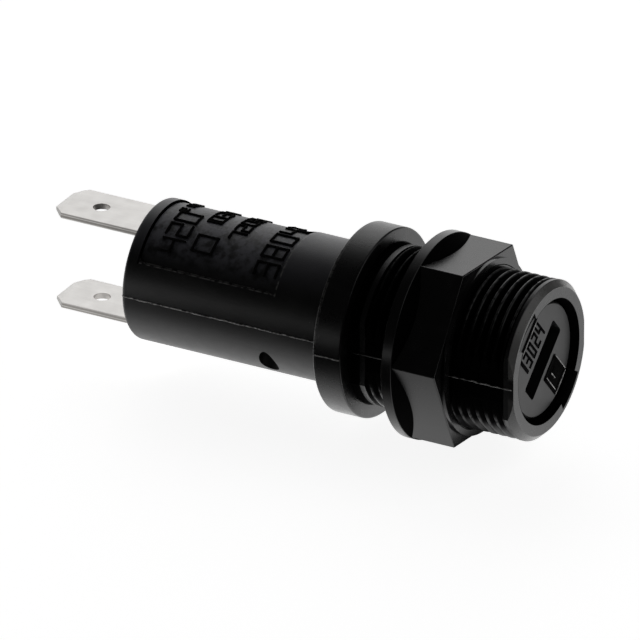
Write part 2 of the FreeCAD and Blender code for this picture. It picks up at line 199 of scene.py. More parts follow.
class HolderColours(bpy.types.PropertyGroup):
    """Colours of the finishes."""

    housing_black: colour("Housing black", "Main colour of the housing", (0.0035, 0.0035, 0.0038))
    # Housing grey also paints the highlight on the thread's upper crests
    housing_grey: colour("Housing grey", "Colour where the housing is rubbed", (0.02, 0.0195, 0.019))
    # Painted light: the grey on top of the tube
    painted_light_grey: colour("Field grey", "Colour of the dust on top of the tube", (0.12, 0.12, 0.14))
    # Hollow is the black of the painted shade; the raised marks use it as well
    hollow: colour("Hollow", "Colour where hardly any light reaches", (0.0012, 0.0012, 0.0013))
    # Painted highlight along the sharp edges, and the colour of the specks of dust
    edge_highlight_and_dust: colour("Worn edge", "Colour of the moulding's rubbed sharp edges", (0.16, 0.158, 0.155))
    # Flash grey also paints the highlights along the cap's frame
    flash_and_highlight_grey: colour("Flash grey", "Colour of the parting line where it broke", (0.48, 0.474, 0.465))
    nut_black: colour("Nut black", "Main colour of the nut", (0.004, 0.004, 0.0043))
    cap_black: colour("Cap black", "Main colour of the cap", (0.010, 0.010, 0.0105))
    tin: colour("Tin", "Colour of the tinned strip", (0.80, 0.785, 0.765))
    tin_edge: colour("Tin edge", "Colour of the strip's sheared edges", (0.44, 0.42, 0.40))
    nickel: colour("Nickel", "Colour of the plated contacts", (0.68, 0.665, 0.63))
    steel: colour("Steel", "Colour of the spring wire", (0.52, 0.52, 0.53))
    glass: colour("Glass", "Colour of the fuse's glass", (0.95, 0.98, 0.97))


class Reading:
    """A number read at each point of a surface, used in ordinary arithmetic."""

    def __init__(self, finish, socket):
        self.finish = finish
        self.socket = socket

    def work(self, operation, first, second=0.0):
        """Add a node for one step of arithmetic."""
        made = self.finish.node("ShaderNodeMath", {"operation": operation}, {0: first, 1: second})
        return Reading(self.finish, made.outputs[0])

    def __add__(self, other):
        return self.work("ADD", self, other)

    __radd__ = __add__

    def __sub__(self, other):
        return self.work("SUBTRACT", self, other)

    def __rsub__(self, other):
        return self.work("SUBTRACT", other, self)

    def __mul__(self, other):
        return self.work("MULTIPLY", self, other)

    __rmul__ = __mul__

    def __pow__(self, other):
        return self.work("POWER", self, other)

    def __abs__(self):
        return self.work("ABSOLUTE", self)

    def rising(self, low, high):
        """0 below low, 1 above high and a smooth step between them."""
        made = self.finish.node(
            "ShaderNodeMapRange",
            {"interpolation_type": "SMOOTHSTEP"},
            {"Value": self, "From Min": low, "From Max": high},
        )
        return Reading(self.finish, made.outputs["Result"])

    def above(self, level, soft):
        """1 above a level and 0 below it, with a soft edge."""
        return self.rising(level - soft, level + soft)

    def below(self, level, soft):
        """1 below a level and 0 above it, with a soft edge."""
        return 1 - self.above(level, soft)

    def within(self, low, high, soft):
        """1 between low and high, fading to 0 over a soft edge."""
        return self.above(low, soft) * self.below(high, soft)


def diagonal(first, second):
    """Length of the diagonal over two readings at right angles."""
    return (first * first + second * second) ** 0.5


class Nodes:
    """The shader nodes of a material or a world, added one at a time."""

    def __init__(self, owner, output):
        owner.use_nodes = True
        self.tree = owner.node_tree
        self.output = self.tree.nodes[output]

    def node(self, kind, settings=None, values=None):
        """Add a node: its settings are made first, and then its sockets get their values or links."""
        made = self.tree.nodes.new(kind)
        for setting, value in (settings or {}).items():
            setattr(made, setting, value)
        for socket, value in (values or {}).items():
            self.feed(made.inputs[socket], value)
        return made

    def blend(self, share, first, second):
        """Blend two shaders by a share."""
        return self.node("ShaderNodeMixShader", values={0: share, 1: first, 2: second}).outputs[0]

    def glow(self, level, kind="ShaderNodeEmission"):
        """Plain white light of a given level."""
        return self.node(kind, values={"Color": (1, 1, 1, 1), "Strength": level}).outputs[0]

    def camera_ray(self):
        """1 where the camera looks straight at the surface."""
        return self.node("ShaderNodeLightPath").outputs["Is Camera Ray"]

    def feed(self, socket, value):
        """Give a socket a link, a colour or another plain value."""
        if isinstance(value, Reading):
            value = value.socket
        if isinstance(value, bpy.types.NodeSocket):
            self.tree.links.new(value, socket)
        elif isinstance(value, Color):
            socket.default_value = (*value, 1.0)
        else:
            socket.default_value = value

    def show(self, shader):
        """Make a shader the one that is seen."""
        self.feed(self.output.inputs["Surface"], shader)


class Finish(Nodes):
    """A procedural material, built around a single surface shader."""

    def __init__(self, name, constants=None):
        self.material = bpy.data.materials.new(name)
        super().__init__(self.material, "Material Output")
        self.surface = self.tree.nodes["Principled BSDF"]
        for socket, value in (constants or {}).items():
            self.set(socket, value)
        values = {0: self.node("ShaderNodeTexCoord").outputs["Object"], "Scale": 1 / MM}
        self.place = self.node("ShaderNodeVectorMath", {"operation": "SCALE"}, values).outputs[0]

    def set(self, name, value):
        """Feed one socket of the surface shader."""
        self.feed(self.surface.inputs[name], value)

    def axes(self):
        """Readings of the place along X, Y and Z, in millimetres."""
        parts = self.node("ShaderNodeSeparateXYZ", values={0: self.place})
        return [Reading(self, socket) for socket in parts.outputs]

    def noise(self, scale, detail, stretch=(1, 1, 1)):
        """Cloudy pattern between 0 and 1; scale counts its spots in a millimetre."""
        factors = {0: self.place, 1: stretch}
        stretched = self.node("ShaderNodeVectorMath", {"operation": "MULTIPLY"}, factors)
        values = {"Vector": stretched.outputs[0], "Scale": scale, "Detail": detail}
        return Reading(self, self.node("ShaderNodeTexNoise", values=values).outputs[0])

    def spots(self, scale, size):
        """Small separate spots; scale counts their cells in a millimetre."""
        made = self.node("ShaderNodeTexVoronoi", values={"Vector": self.place, "Scale": scale})
        return Reading(self, made.outputs["Distance"]).below(size * 0.8, size * 0.2)

    def mix(self, share, first, second):
        """Blend two colours by a share."""
        made = self.node("ShaderNodeMix", {"data_type": "RGBA"}, {0: share, 6: first, 7: second})
        return made.outputs[2]

    def paint_shade(self, share, shade, roughness=0.9):
        """Paint shade: cover the surface with a black that hardly shines, by a share."""
        values = {"Base Color": shade, "Roughness": roughness, "Specular IOR Level": 0.02}
        matt = self.node("ShaderNodeBsdfPrincipled", values=values).outputs[0]
        self.show(self.blend(share, self.surface.outputs[0], matt))

    def bump(self, height, distance, strength, under=None):
        """Surface direction over a relief; distance is its depth in millimetres."""
        values = {"Height": height, "Distance": distance * MM, "Strength": strength}
        if under is not None:
            values["Normal"] = under
        return self.node("ShaderNodeBump", values=values).outputs["Normal"]


def dress(finish, *names):
    """Give a finish to CAD nodes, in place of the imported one."""
    for name in names:
        materials = NODES[name].data.materials
        materials.clear()
        materials.append(finish.material)


def clear_selection():
    """Deselect every object, so that the next operator acts on its own piece."""
    bpy.ops.object.select_all(action="DESELECT")


def take(piece):
    """Make one piece the selected and active one."""
    clear_selection()
    piece.select_set(True)
    bpy.context.view_layer.objects.active = piece


def choose(piece, test):
    """In edit mode, select the vertices whose place passes a test."""
    bpy.ops.mesh.select_all(action="DESELECT")
    mesh = bmesh.from_edit_mesh(piece.data)
    for vertex in mesh.verts:
        vertex.select = test(vertex.co)
    mesh.select_flush(True)
    bmesh.update_edit_mesh(piece.data)


def apply_modifier(piece, kind, **settings):
    """Add a modifier with its settings and apply it."""
    modifier = piece.modifiers.new(kind.title(), kind)
    for name, value in settings.items():
        setattr(modifier, name, value)
    take(piece)
    bpy.ops.object.modifier_apply(modifier=modifier.name)


def settle(piece, name, body, material, angle=35.0):
    """Name a piece, put its place into its mesh, tidy the mesh and give it its material and body."""
    take(piece)
    piece.name = name
    piece.data.name = name
    bpy.ops.object.transform_apply(location=True, rotation=True, scale=True)
    bpy.ops.object.mode_set(mode="EDIT")
    bpy.ops.mesh.select_all(action="SELECT")
    bpy.ops.mesh.remove_doubles(threshold=0.0005 * MM)
    bpy.ops.mesh.normals_make_consistent(inside=False)
    bpy.ops.object.mode_set(mode="OBJECT")
    bpy.ops.object.shade_smooth_by_angle(angle=math.radians(angle))
    piece.data.materials.clear()
    piece.data.materials.append(material)
    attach(piece, body)


def finish_named(name):
    """A finish's material, made by the operators for finishes."""
    return bpy.data.materials[name]


def thread_ridge(buried, crest, start, end):
    """Right-handed helical ridge about the Y axis, from a flat outline turned by a screw modifier."""
    sizes = bpy.context.scene.holder_sizes
    corner_steps = 2
    near = 0.01 * MM
    clear_selection()
    bpy.ops.mesh.primitive_plane_add(size=1, location=((buried + crest) / 2, start, 0))
    ridge = bpy.context.object
    ridge.scale = (abs(crest - buried), sizes.thread_base, 1)
    bpy.ops.object.transform_apply(location=True, rotation=True, scale=True)
    bpy.ops.object.mode_set(mode="EDIT")
    choose(ridge, lambda place: abs(place.x - crest) < near)
    narrowing = sizes.thread_crest / sizes.thread_base
    bpy.ops.transform.resize(value=(1, narrowing, 1), center_override=(crest, start, 0))
    bpy.ops.mesh.bevel(offset=sizes.thread_round, segments=corner_steps, affect="VERTICES")
    bpy.ops.object.mode_set(mode="OBJECT")
    turns = (end - start) / sizes.pitch
    steps = round(turns * sizes.thread_steps)
    apply_modifier(
        ridge, "SCREW", axis="Y", angle=2 * math.pi * turns, screw_offset=end - start,
        steps=steps, render_steps=steps, use_merge_vertices=False,
    )
    bpy.ops.object.mode_set(mode="EDIT")
    bpy.ops.mesh.select_all(action="SELECT")
    bpy.ops.mesh.fill_holes(sides=4 * (corner_steps + 1))
    bpy.ops.mesh.normals_make_consistent(inside=False)
    bpy.ops.object.mode_set(mode="OBJECT")
    return ridge


def trim(piece, point, outward):
    """Cut a closed piece off at a plane and close each cut by itself."""
    on_plane = 0.0001 * MM
    take(piece)
    bpy.ops.object.mode_set(mode="EDIT")
    bpy.ops.mesh.select_all(action="SELECT")
    bpy.ops.mesh.bisect(
        plane_co=point, plane_no=outward, use_fill=False, clear_outer=True, threshold=on_plane,
    )
    bpy.ops.mesh.select_all(action="SELECT")
    bpy.ops.mesh.fill_holes(sides=0)
    bpy.ops.object.mode_set(mode="OBJECT")


class HOLDER_OT_barrel_thread(bpy.types.Operator):
    """Add the screw thread on the barrel, cut by its two flats"""

    bl_idname = "holder.barrel_thread"
    bl_label = "Barrel Thread"

    def execute(self, context):
        sizes = context.scene.holder_sizes
        start = HOUSING_LOW.y + sizes.thread_lead
        end = start + sizes.thread_length
        ridge = thread_ridge(sizes.root_radius - sizes.sunk, sizes.crest_radius, start, end)
        below_flat = 0.005 * MM
        for side in (-1, 1):
            trim(ridge, (side * (sizes.flat_distance - below_flat), 0, 0), (side, 0, 0))
        settle(ridge, "barrel_thread", "holder", finish_named("Thread black"), 40)
        return {"FINISHED"}


class HOLDER_OT_nut_thread(bpy.types.Operator):
    """Add the screw thread in the nut, short of the part that runs over the barrel's plain neck"""

    bl_idname = "holder.nut_thread"
    bl_label = "Nut Thread"

    def execute(self, context):
        sizes = context.scene.holder_sizes
        # The nut's crests run in the barrel's grooves, from just before the nut to past its far end
        barrel_start = HOUSING_LOW.y + sizes.thread_lead
        turns_before = math.floor((NUT_LOW.y - barrel_start) / sizes.pitch) - 1
        start = barrel_start + (turns_before + 0.5) * sizes.pitch
        turns = math.ceil((NUT_HIGH.y - NUT_LOW.y) / sizes.pitch) + 2
        end = start + turns * sizes.pitch
        ridge = thread_ridge(sizes.nut_root_radius + sizes.sunk, sizes.nut_crest_radius, start, end)
        inside_face = 0.02 * MM
        trim(ridge, (0, NUT_LOW.y + inside_face, 0), (0, -1, 0))
        trim(ridge, (0, NUT_HIGH.y - sizes.neck_length, 0), (0, 1, 0))
        settle(ridge, "nut_thread", "nut", finish_named("Nut black"), 40)
        return {"FINISHED"}


class HOLDER_OT_parting_line(bpy.types.Operator):
    """Add the thin uneven ridge that the mould's halves left along both sides of the housing"""

    bl_idname = "holder.parting_line"
    bl_label = "Parting Line"

    def execute(self, context):
        sizes = context.scene.holder_sizes
        flat, flange, tube = -sizes.flat_distance, -sizes.flange_radius, -sizes.tube_radius
        front, rear = HOUSING_LOW.y, HOUSING_HIGH.y
        flange_rear = FLANGE_REAR * MM
        gap = 0.15 * MM
        edge_round = 0.1 * MM
        corner = 0.35 * MM
        runs = [
            [(flat, front + gap), (flat, -gap)],
            [(flange, edge_round), (flange, flange_rear - edge_round)],
            [(tube, flange_rear), (tube, rear - corner), (tube + edge_round, rear - edge_round),
             (tube + corner, rear), (0, rear)],
        ]
        near_side = joined([self.flash(run, sizes, seed) for seed, run in enumerate(runs)])
        far_side = near_side.copy()
        far_side.data = near_side.data.copy()
        context.collection.objects.link(far_side)
        far_side.matrix_world = Matrix.Rotation(math.pi, 4, "Y")
        material = finish_named("Flash and painted highlight")
        settle(near_side, "parting_line_near", "holder", material)
        settle(far_side, "parting_line_far", "holder", material)
        return {"FINISHED"}

    def flash(self, run, sizes, seed):
        """Extrude a point along a run, roughen the line and give it a thin round body."""
        clear_selection()
        x, y = run[0]
        bpy.ops.mesh.primitive_plane_add(size=MM, location=(0, 0, 0))
        bpy.ops.object.mode_set(mode="EDIT")
        bpy.ops.mesh.select_all(action="SELECT")
        bpy.ops.mesh.merge(type="CENTER")
        bpy.ops.transform.translate(value=(x, y, 0))
        for next_x, next_y in run[1:]:
            pieces = max(1, round(math.hypot(next_x - x, next_y - y) / sizes.flash_step))
            step = ((next_x - x) / pieces, (next_y - y) / pieces, 0)
            for _ in range(pieces):
                bpy.ops.mesh.extrude_region_move(TRANSFORM_OT_translate={"value": step})
            x, y = next_x, next_y
        bpy.ops.mesh.select_all(action="SELECT")
        bpy.ops.transform.vertex_random(
            offset=sizes.flash_wander, uniform=1.0, normal=0.0, seed=seed, wait_for_input=False,
        )
        bpy.ops.object.mode_set(mode="OBJECT")
        bpy.ops.object.convert(target="CURVE")
        line = bpy.context.object
        line.data.bevel_depth = sizes.flash_radius
        line.data.bevel_resolution = 1
        line.data.use_fill_caps = True
        bpy.ops.object.convert(target="MESH")
        return bpy.context.object


def raised_bar(size_along, size_across, height):
    """One moulded bar at the origin, half sunk in the XY plane, with its upper edges softened."""
    clear_selection()
    bpy.ops.mesh.primitive_cube_add(size=1, location=(0, 0, 0))
    bar = bpy.context.object
    bar.scale = (size_across, size_along, height * 2)
    bpy.ops.object.transform_apply(location=True, rotation=True, scale=True)
    bpy.ops.object.mode_set(mode="EDIT")
    choose(bar, lambda place: place.z > 0)
    bpy.ops.mesh.bevel(offset=height * 0.3, segments=2, affect="EDGES")
    bpy.ops.object.mode_set(mode="OBJECT")
    return bar


def joined(pieces):
    """Join several pieces into the first one."""
    take(pieces[0])
    for piece in pieces[1:]:
        piece.select_set(True)
    bpy.ops.object.join()
    return pieces[0]


def copy_to(piece, places):
    """Copies of a piece at several places, joined into one mesh; the first piece is used up."""
    copies = []
    for place in places:
        twin = piece.copy()
        twin.data = piece.data.copy()
        bpy.context.collection.objects.link(twin)
        twin.matrix_world = place
        copies.append(twin)
    bpy.data.objects.remove(piece)
    return joined(copies)


def strokes(digit, width, tall, stroke):
    """Centre, size and direction of each stroke of a plain digit: x runs across it and y along it."""
    side = (width - stroke) / 2
    top = (tall - stroke) / 2
    half = (tall + stroke) / 2
    segments = {
        "a": (0, top, width, False),
        "b": (side, top / 2, half, True),
        "c": (side, -top / 2, half, True),
        "d": (0, -top, width, False),
        "e": (-side, -top / 2, half, True),
        "f": (-side, top / 2, half, True),
        "g": (0, 0, width, False),
    }
    return [segments[letter] for letter in DIGITS[digit]]


def marks(rows, stroke, height, seat):
    """Rows of plain digits made of bars, each put in its place by the seat function."""
    places = {}
    for along, tall, width, digits in rows:
        for across, digit in digits:
            for x, y, size, upright in strokes(digit, width, tall, stroke):
                places.setdefault((size, upright), []).append(seat(across, x, along + y))
    groups = []
    for (size, upright), seats in places.items():
        across, along = (stroke, size) if upright else (size, stroke)
        groups.append(copy_to(raised_bar(along * MM, across * MM, height), seats))
    return joined(groups)


class HOLDER_OT_tube_marks(bpy.types.Operator):
    """Add rows of plain raised digits in the sunk field on top of the tube"""

    bl_idname = "holder.tube_marks"
    bl_label = "Tube Marks"

    def execute(self, context):
        sizes = context.scene.holder_sizes
        radius = sizes.field_radius

        def seat(angle, x, y):
            turn = math.radians(90 - angle) + x * MM / radius
            return Matrix.Rotation(turn, 4, "Y") @ Matrix.Translation((0, y * MM, radius))

        piece = marks(TUBE_ROWS, sizes.mark_stroke / MM, sizes.mark_height, seat)
        settle(piece, "tube_marks", "holder", finish_named("Mark black"))
        return {"FINISHED"}


class HOLDER_OT_cap_marks(bpy.types.Operator):
    """Add plain digits and a framed field beside the cap's slot, and pale bars as painted highlights"""

    bl_idname = "holder.cap_marks"
    bl_label = "Cap Marks"

    def execute(self, context):
        sizes = context.scene.holder_sizes
        height = sizes.cap_mark_height
        face = Matrix.Translation((0, CAP_FACE, 0))
        face = face @ Matrix.Rotation(-SLOT_ANGLE, 4, "Y") @ Matrix.Rotation(math.radians(90), 4, "X")

        def seat(across, x, y):
            return face @ Matrix.Translation(((across + x) * MM, y * MM, 0))

        def bars(places, width, rise):
            made = []
            for x, y, across, along in places:
                bar = raised_bar((along or width) * MM, (across or width) * MM, rise)
                made.append(copy_to(bar, [seat(0, x, y)]))
            return made

        dark = [marks(CAP_ROWS, sizes.cap_mark_stroke / MM, height, seat)]
        dark += bars(CAP_FRAME, sizes.cap_bar / MM, height)
        # The low dark field inside the frame is painted shade
        dark += bars(CAP_FIELD, sizes.cap_bar / MM, height / 2)
        settle(joined(dark), "cap_marks", "cap", finish_named("Mark black"))
        # Painted highlights: pale bars along the edges of the frame
        pale = bars(CAP_HIGHLIGHT_BARS, sizes.cap_highlight_bar / MM, height * 1.1)
        settle(joined(pale), "cap_painted_highlights", "cap", finish_named("Flash and painted highlight"))
        return {"FINISHED"}


class HOLDER_OT_spring(bpy.types.Operator):
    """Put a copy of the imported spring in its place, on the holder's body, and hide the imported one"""

    bl_idname = "holder.spring"
    bl_label = "Contact Spring"

    def execute(self, context):
        packed = NODES["contact_spring"]
        spring = bpy.data.objects.new("live_spring", packed.data.copy())
        context.collection.objects.link(spring)
        settle(spring, "live_spring", "holder", finish_named("Spring wire"), 60)
        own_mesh(spring)
        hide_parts("contact_spring")
        return {"FINISHED"}


class HOLDER_OT_plastics(bpy.types.Operator):
    """Make the black plastics and give them to the housing, the nut and the cap"""

    bl_idname = "holder.plastics"
    bl_label = "Plastics"

    def execute(self, context):
        colours = context.scene.holder_colours
        dress(self.housing(colours), "housing")
        dress(self.nut(colours), "hex_nut")
        dress(self.plain("Cap black", colours.cap_black, colours.housing_grey, 0.40, 1.0), "fuse_carrier")
        self.flash(colours)
        self.thread(colours)
        self.marks(colours)
        return {"FINISHED"}

    def thread(self, colours):
        """Smooth crests, paler on top as a painted highlight, and rough black grooves as painted shade."""
        finish = Finish("Thread black", {"Specular IOR Level": 0.5})
        x, y, z = finish.axes()
        crest_foot = 6.5
        flats_low, flats_high = -3.0, 4.4
        nut_collar = -4.8
        underside = -4.2
        near_flats = z.within(flats_low, flats_high, 0.6)
        behind_nut = y.above(nut_collar, 0.2) * z.above(0.0, 1.0)
        low_side = z.below(underside, 0.6)
        uneven = 0.7 * finish.noise(1.9, 3.0).below(0.45, 0.09)
        # Painted shade dims the crests near the flats and behind the nut; random patches dim them too, less
        # on the low side
        shaded = (1 - 0.85 * near_flats) * (1 - 0.75 * behind_nut) * (1 - uneven * (1 - 0.7 * low_side))
        crest = diagonal(x, z).above(crest_foot, 0.06) * shaded
        # Painted highlight: the crests are paler on their upper side, in patches
        lighter_tone = crest * z.rising(1.0, 5.5) * finish.noise(1.6, 3.0).rising(0.4, 0.7)
        grain = finish.noise(9.0, 3.0)
        finish.set("Base Color", finish.mix(lighter_tone, colours.housing_black, colours.housing_grey))
        finish.set("Roughness", 0.3 + 0.1 * grain)
        finish.set("Normal", finish.bump(grain, 0.01, 0.5))
        # Painted shade: rough black in the grooves and on the dimmed crests, less of it on the low side
        finish.paint_shade((1 - crest) * (1 - 0.6 * low_side), colours.hollow, 0.7)

    def marks(self, colours):
        """Rough black of the raised marks, darker on the cap than on the tube."""
        finish = Finish("Mark black", {"Specular IOR Level": 0.01})
        along = finish.axes()[1]
        grain = finish.noise(8.0, 3.0)
        on_tube = along.above(0.0, 1.0)
        shade = grain * (0.08 + on_tube)
        finish.set("Base Color", finish.mix(shade, colours.hollow, colours.housing_grey))
        finish.set("Roughness", 0.6 + 0.25 * grain)
        finish.set("Normal", finish.bump(grain, 0.015, 0.5))

    def housing(self, colours):
        """Moulded black: painted light on top of the tube, painted shade in hollows, painted highlights on
        edges.
        """
        finish = Finish("Moulded black", {"Specular IOR Level": 0.5})
        x, y, z = finish.axes()
        radius = diagonal(x, z)
        cloud = finish.noise(0.5, 3.0, (1, 0.4, 1))
        grain = finish.noise(9.0, 3.0)
        fine = finish.noise(26.0, 1.0)
        patches = finish.noise(1.4, 3.0)

        behind = y.above(FLANGE_REAR, 0.05)
        lower = z.below(0.0, 0.05)
        top = z.above(FIELD_SIDE, 0.1)
        field_floor = radius.below(5.73, 0.03)
        field = y.within(FIELD_FRONT, FIELD_REAR, 0.03) * top * field_floor
        hollow = self.hollows((x, y, z), radius, top)
        highlight_and_dust_share, rubbed = self.edges(finish, (x, y, z), radius, top)

        clouded = cloud.rising(0.45, 0.75) * 0.5
        mottled = finish.mix(clouded, colours.housing_black, colours.housing_grey)
        # Painted light: paler grey on top of the tube behind the flange, in patches on the field
        painted_top_light = behind * z.rising(2.9, 5.2) * (field * patches.rising(0.32, 0.62) + 0.45 * (1 - field))
        mottled = finish.mix(painted_top_light, mottled, colours.painted_light_grey)
        # Painted highlights along the sharp edges, with pale specks of dust
        finish.set("Base Color", finish.mix(highlight_and_dust_share, mottled, colours.edge_highlight_and_dust))
        finish.set("Metallic", rubbed)
        shine = 0.16 + 0.10 * cloud + 0.12 * patches + 0.04 * grain
        finish.set("Roughness", shine + 0.08 * behind + 0.05 * field + 0.08 * lower * behind)
        # Painted shade: a rough black in the hollows that hardly any light reaches
        finish.paint_shade(hollow.rising(0.0, 1.0), colours.hollow)
        relief = finish.bump(grain, 0.02, 0.5)
        finish.set("Normal", finish.bump(fine, 0.004, 0.5, relief))
        return finish

    def hollows(self, place, radius, top):
        """The grooves, mouth, neck, field's step and side hole, which hardly any light reaches."""
        x, y, z = place
        groove_edge, mouth_edge, neck_edge, hole_edge = 6.44, 5.205, 6.7, 0.805
        shoulder, neck_front = -1.28, -0.8
        groove = y.within(RING_REAR, shoulder, 0.02) * radius.below(groove_edge, 0.02)
        mouth = y.below(RING_REAR + 0.025, 0.025) * radius.below(mouth_edge, 0.015)
        neck = y.within(neck_front, 0.02, 0.05) * radius.below(neck_edge, 0.02)
        step = y.above(FIELD_REAR - 0.12, 0.05) * y.below(FIELD_REAR + 0.02, 0.01) * top
        from_hole = diagonal(x - SIDE_HOLE_X, y - SIDE_HOLE_Y)
        hole = from_hole.below(hole_edge, 0.015) * z.below(-0.9, 0.1)
        return groove + neck + mouth + step + hole

    def edges(self, finish, place, radius, top):
        """Share of pale painted highlight and dust on the edges, and of metal on the ring's upper edge."""
        x, y, z = place
        field_edge, flange_edge, ring_edge = 5.795, 7.65, 6.07
        side_low, side_high = 2.84, 2.93
        dust = finish.spots(2.3, 0.06) * finish.noise(0.9, 1.0).rising(0.52, 0.6)
        broken = finish.noise(2.4, 3.0).rising(0.36, 0.6)
        along_field = y.within(FIELD_FRONT, FIELD_REAR - 0.05, 0.1)
        field_side = along_field * z.within(side_low, side_high, 0.02) * x.below(0.0, 0.1)
        before_field = y.within(FIELD_FRONT - 0.14, FIELD_FRONT, 0.02)
        field_front = before_field * top * radius.above(field_edge, 0.015)
        flange_rim = y.within(FLANGE_REAR - 0.3, FLANGE_REAR, 0.03) * radius.above(flange_edge, 0.05)
        flange = flange_rim * z.above(0.0, 3.0)
        ring = y.below(BARREL_FRONT + 0.48, 0.05) * radius.above(ring_edge, 0.03)
        # Painted highlights on the field's near side and front edge, the flange's upper rim and the ring's
        # edge, mostly its upper side
        lit = z.rising(-2.0, 1.5)
        highlight_and_dust_share = (field_side + field_front + 0.5 * flange) * broken + dust * 0.7 + ring * (0.2 + 0.8 * lit)
        return highlight_and_dust_share, 0.35 * ring * lit * finish.noise(2.2, 3.0).rising(0.25, 0.6)

    def plain(self, name, base, lighter_tone, roughness, depth):
        """Smooth moulded black with faint clouds and a fine grain."""
        finish = Finish(name, {"Specular IOR Level": 0.5})
        cloud = finish.noise(0.7, 3.0)
        grain = finish.noise(14.0, 3.0)
        dust = finish.spots(2.0, 0.05) * finish.noise(1.1, 1.0).rising(0.55, 0.62)
        finish.set("Base Color", finish.mix(cloud.rising(0.4, 0.8) * 0.4 + dust, base, lighter_tone))
        finish.set("Roughness", roughness + 0.08 * cloud + 0.05 * grain)
        finish.set("Normal", finish.bump(grain, 0.006 * depth, 0.5))
        return finish

    def nut(self, colours):
        """Smooth black, and painted shade, a matt black, on the cone between the collar and the hexagon."""
        finish = self.plain("Nut black", colours.nut_black, colours.housing_grey, 0.19, 0.5)
        x, y, z = finish.axes()
        collar_front, cone_front = -4.9, -6.0
        collar_radius, slope = 8.5, 1.365
        off_cone = abs(diagonal(x, z) - (collar_radius + slope * (y - collar_front)))
        cone = y.within(cone_front, collar_front - 0.03, 0.01) * off_cone.below(0.05, 0.02)
        # Painted shade on the cone
        finish.paint_shade(cone, colours.hollow, 0.7)
        return finish

    def flash(self, colours):
        """Thin ridge of plastic, paler where it broke off, with painted shade behind the nut."""
        finish = Finish("Flash and painted highlight", {"Specular IOR Level": 0.5})
        along = finish.axes()[1]
        # Painted shade: behind the nut the ridge keeps its dark colour
        behind_nut = along.within(-4.6, 0.0, 0.05)
        broken = finish.noise(2.6, 4.0).rising(0.36, 0.62) * (1 - 0.9 * behind_nut)
        # The same pale colour paints the highlights along the cap's frame
        finish.set("Base Color", finish.mix(broken, colours.housing_grey, colours.flash_and_highlight_grey))
        finish.set("Roughness", 0.35 + 0.2 * broken)


class HOLDER_OT_metals(bpy.types.Operator):
    """Make the metals and the glass, and give them to the terminals, contacts and fuse"""

    bl_idname = "holder.metals"
    bl_label = "Metals and Glass"

    def execute(self, context):
        colours = context.scene.holder_colours
        dress(self.tin(colours), "rear_terminal", "side_terminal")
        dress(self.nickel(colours), "carrier_contact", "contact_plunger", "fuse_front_cap", "fuse_rear_cap")
        dress(self.wire("Spring wire", colours.steel, 0.30), "contact_spring")
        dress(self.wire("Melting wire", colours.nickel, 0.35), "fuse_wire")
        dress(self.glass(colours), "fuse_glass_tube")
        return {"FINISHED"}

    def tin(self, colours):
        """Tinned strip: rolled faces with faint streaks, sheared edges with torn bands, dark ends."""
        finish = Finish("Tin plate", {"Metallic": 1.0})
        x, y, z = finish.axes()
        # Inner and outer side of each torn band, from the middle between the tabs, and its softness
        torn_bands = ((3.84, 4.02, 0.02), (4.1, 4.19, 0.015))
        hole_edge = 0.7125
        corner_line = TAB_TIP + 1.38
        across = abs(x)
        streaks = finish.noise(7.0, 3.0, (1.0, 0.08, 1.0))
        cloud = finish.noise(0.9, 3.0)
        pits = finish.noise(18.0, 2.0)
        sheared = across.above(TAB_EDGE - 0.0175, 0.0075)
        torn = sum(sheared * abs(z).within(*band) for band in torn_bands)
        hole = diagonal(x, y - TAB_HOLE_Y).below(hole_edge, 0.0075)
        cut_end = y.above(TAB_TIP - 0.02, 0.01) + (across + y).above(corner_line, 0.01)
        shade = 0.16 * cloud + 0.14 * streaks + 0.8 * torn + 0.25 * sheared + 0.6 * hole
        rolled = finish.mix(shade, colours.tin, colours.tin_edge)
        dark = 0.35 * colours.tin_edge
        finish.set("Base Color", finish.mix(0.7 * cut_end + 0.1 * hole, rolled, dark))
        finish.set("Roughness", 0.33 + 0.10 * cloud + 0.08 * streaks + 0.15 * torn)
        relief = finish.bump(streaks, 0.006, 0.4)
        finish.set("Normal", finish.bump(pits, 0.004, 0.4, relief))
        return finish

    def nickel(self, colours):
        """Bright plate over drawn or turned brass, with faint rings about the axis."""
        finish = Finish("Nickel plate", {"Metallic": 1.0})
        rings = finish.noise(5.0, 2.0, (0.05, 1.6, 0.05))
        cloud = finish.noise(1.1, 2.0)
        shade = 0.3 * cloud + 0.2 * rings
        finish.set("Base Color", finish.mix(shade, colours.nickel, colours.tin_edge))
        finish.set("Roughness", 0.2 + 0.1 * cloud + 0.08 * rings)
        finish.set("Normal", finish.bump(rings, 0.004, 0.4))
        return finish

    def wire(self, name, base, roughness):
        """Drawn wire with fine marks along it."""
        finish = Finish(name, {"Metallic": 1.0})
        scratches = finish.noise(12.0, 3.0)
        finish.set("Base Color", finish.mix(0.5 * scratches, base, 0.45 * base))
        finish.set("Roughness", roughness + 0.15 * scratches)
        finish.set("Normal", finish.bump(scratches, 0.003, 0.4))
        return finish

    def glass(self, colours):
        """Clear drawn glass with a faint waviness."""
        finish = Finish("Fuse glass", {"Transmission Weight": 1.0, "IOR": 1.5})
        wave = finish.noise(0.6, 2.0, (1, 0.2, 1))
        finish.set("Base Color", finish.mix(wave, colours.glass, 0.94 * colours.glass))
        finish.set("Roughness", 0.02 + 0.02 * wave)
        finish.set("Normal", finish.bump(wave, 0.01, 0.3))
        return finish


